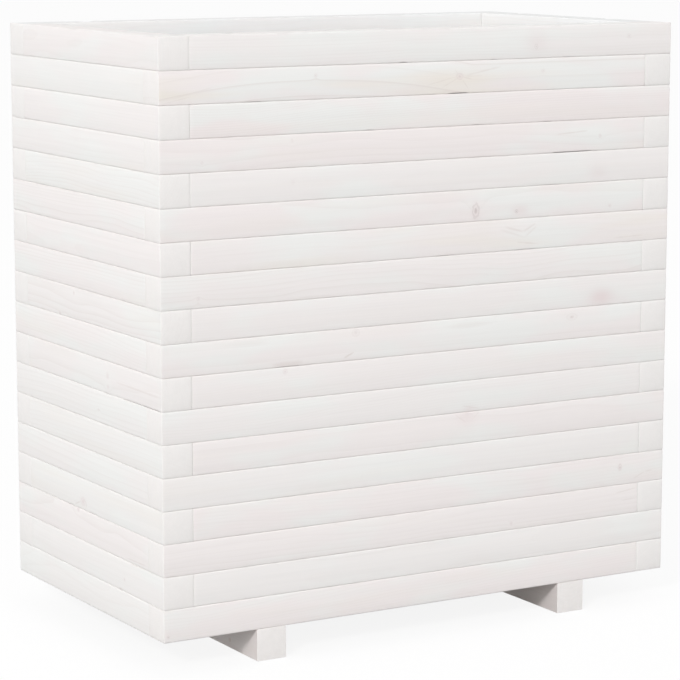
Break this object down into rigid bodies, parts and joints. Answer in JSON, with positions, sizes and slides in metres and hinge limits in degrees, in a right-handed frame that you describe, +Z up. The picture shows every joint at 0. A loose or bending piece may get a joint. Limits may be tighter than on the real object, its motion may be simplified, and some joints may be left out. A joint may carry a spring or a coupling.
{
  "type": "box planter",
  "caption": "Tall rectangular planter box of stacked square whitewashed pine bars with interlocked corners, on foot bars, open at the top.",
  "frame": {"origin": "on the ground, under the middle of the box", "axes": "+Z up, +X along the length to the right, +Y from the front wall to the back wall"},
  "size_m": [0.7, 0.4, 0.722],
  "materials": {
    "whitewashed_pine": "matte",
    "inner_pine": "matte",
    "dowel_beech": "matte",
    "screw_steel": "satin"
  },
  "bodies": {
    "root": {"long_bars_01": "whitewashed_pine", "long_bars_02": "whitewashed_pine", "long_bars_03": "whitewashed_pine", "long_bars_04": "whitewashed_pine", "long_bars_05": "whitewashed_pine", "long_bars_06": "whitewashed_pine", "long_bars_07": "whitewashed_pine", "long_bars_08": "whitewashed_pine", "long_bars_09": "whitewashed_pine", "long_bars_10": "whitewashed_pine", "long_bars_11": "whitewashed_pine", "long_bars_12": "whitewashed_pine", "long_bars_13": "whitewashed_pine", "long_bars_14": "whitewashed_pine", "long_bars_15": "whitewashed_pine", "long_bars_16": "whitewashed_pine", "long_bars_17": "whitewashed_pine", "long_bars_18": "whitewashed_pine", "short_bars_01": "whitewashed_pine", "short_bars_02": "whitewashed_pine", "short_bars_03": "whitewashed_pine", "short_bars_04": "whitewashed_pine", "short_bars_05": "whitewashed_pine", "short_bars_06": "whitewashed_pine", "short_bars_07": "whitewashed_pine", "short_bars_08": "whitewashed_pine", "short_bars_09": "whitewashed_pine", "short_bars_10": "whitewashed_pine", "short_bars_11": "whitewashed_pine", "short_bars_12": "whitewashed_pine", "short_bars_13": "whitewashed_pine", "short_bars_14": "whitewashed_pine", "short_bars_15": "whitewashed_pine", "short_bars_16": "whitewashed_pine", "short_bars_17": "whitewashed_pine", "short_bars_18": "whitewashed_pine", "front_left_post": "inner_pine", "front_right_post": "inner_pine", "back_right_post": "inner_pine", "back_left_post": "inner_pine", "front_left_post_screws": "screw_steel", "front_right_post_screws": "screw_steel", "back_right_post_screws": "screw_steel", "back_left_post_screws": "screw_steel", "floor_board_1": "inner_pine", "floor_board_2": "inner_pine", "floor_board_3": "inner_pine", "floor_board_4": "inner_pine", "floor_board_5": "inner_pine", "left_foot": "whitewashed_pine", "right_foot": "whitewashed_pine", "floor_screws": "screw_steel", "foot_screws": "screw_steel", "rim_dowels": "dowel_beech"}
  },
  "joints": []
}
